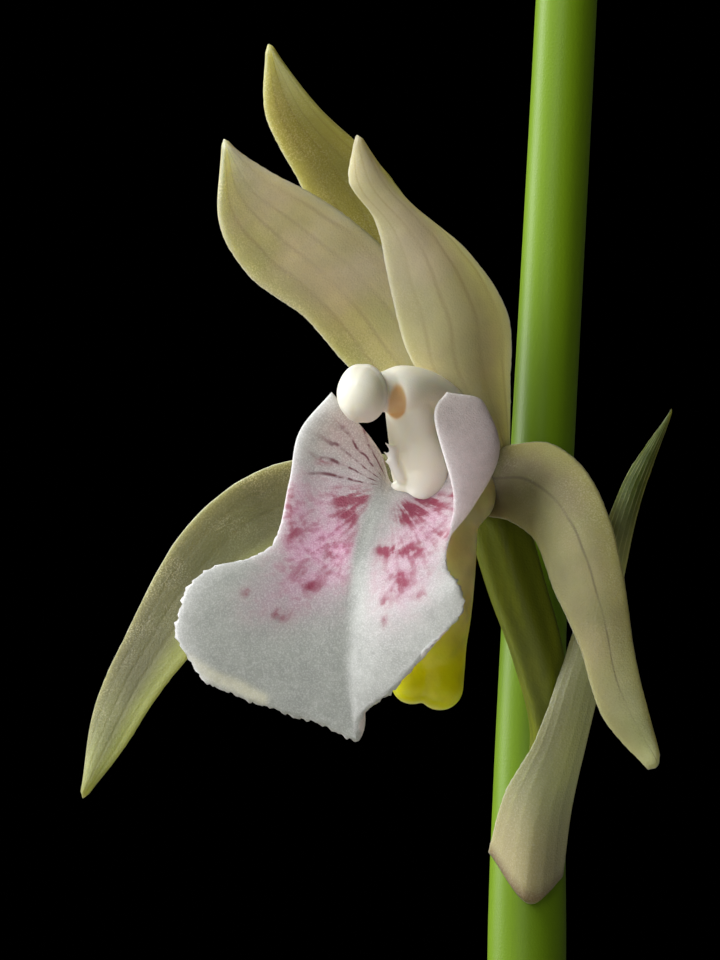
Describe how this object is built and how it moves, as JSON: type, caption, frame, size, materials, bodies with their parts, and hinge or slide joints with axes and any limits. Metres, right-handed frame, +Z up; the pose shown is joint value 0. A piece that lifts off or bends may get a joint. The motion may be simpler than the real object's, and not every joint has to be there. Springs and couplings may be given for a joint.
{
  "type": "potted monk orchid",
  "caption": "Ground orchid in a plain clay pot: ribbed pseudobulbs, stiff arching leaves and a slender stem of spurred flowers, each with a white lip marked in pink.",
  "frame": {"origin": "centre of the pot's flat underside", "axes": "+Z up through the pot and along the flower stem; the lowest flower faces a viewer who looks along +Y, with +X to the right"},
  "size_m": [0.2246, 0.1608, 0.4464],
  "materials": {
    "clay": "matte",
    "potting_mix": "matte",
    "root": "matte",
    "pseudobulb": "satin",
    "leaf": "satin",
    "stem": "satin",
    "sheath": "matte",
    "bract": "satin",
    "tepal": "satin",
    "lip": "satin",
    "column": "satin"
  },
  "bodies": {
    "root": {"pot": "clay", "potting_mix": "potting_mix", "rhizome_and_roots": "root", "pseudobulb_1": "pseudobulb", "pseudobulb_2": "pseudobulb", "pseudobulb_3": "pseudobulb", "pseudobulb_4": "pseudobulb", "leaf_1": "leaf", "leaf_2": "leaf", "leaf_3": "leaf", "leaf_4": "leaf", "flower_stem": "stem", "ovary": "stem", "bud_1": "stem", "bud_2": "stem", "bud_3": "stem", "bud_4": "stem", "sheath_1": "sheath", "sheath_2": "sheath", "sheath_3": "sheath", "bract": "bract", "dorsal_sepal": "tepal", "petal_left": "tepal", "petal_right": "tepal", "lateral_sepal_left": "tepal", "lateral_sepal_right": "tepal", "flower_2_green": "tepal", "flower_3_green": "tepal", "flower_4_green": "tepal", "flower_5_green": "tepal", "lip": "lip", "flower_2_white": "lip", "flower_3_white": "lip", "flower_4_white": "lip", "flower_5_white": "lip", "column": "column", "anther_cap": "column"}
  },
  "joints": []
}
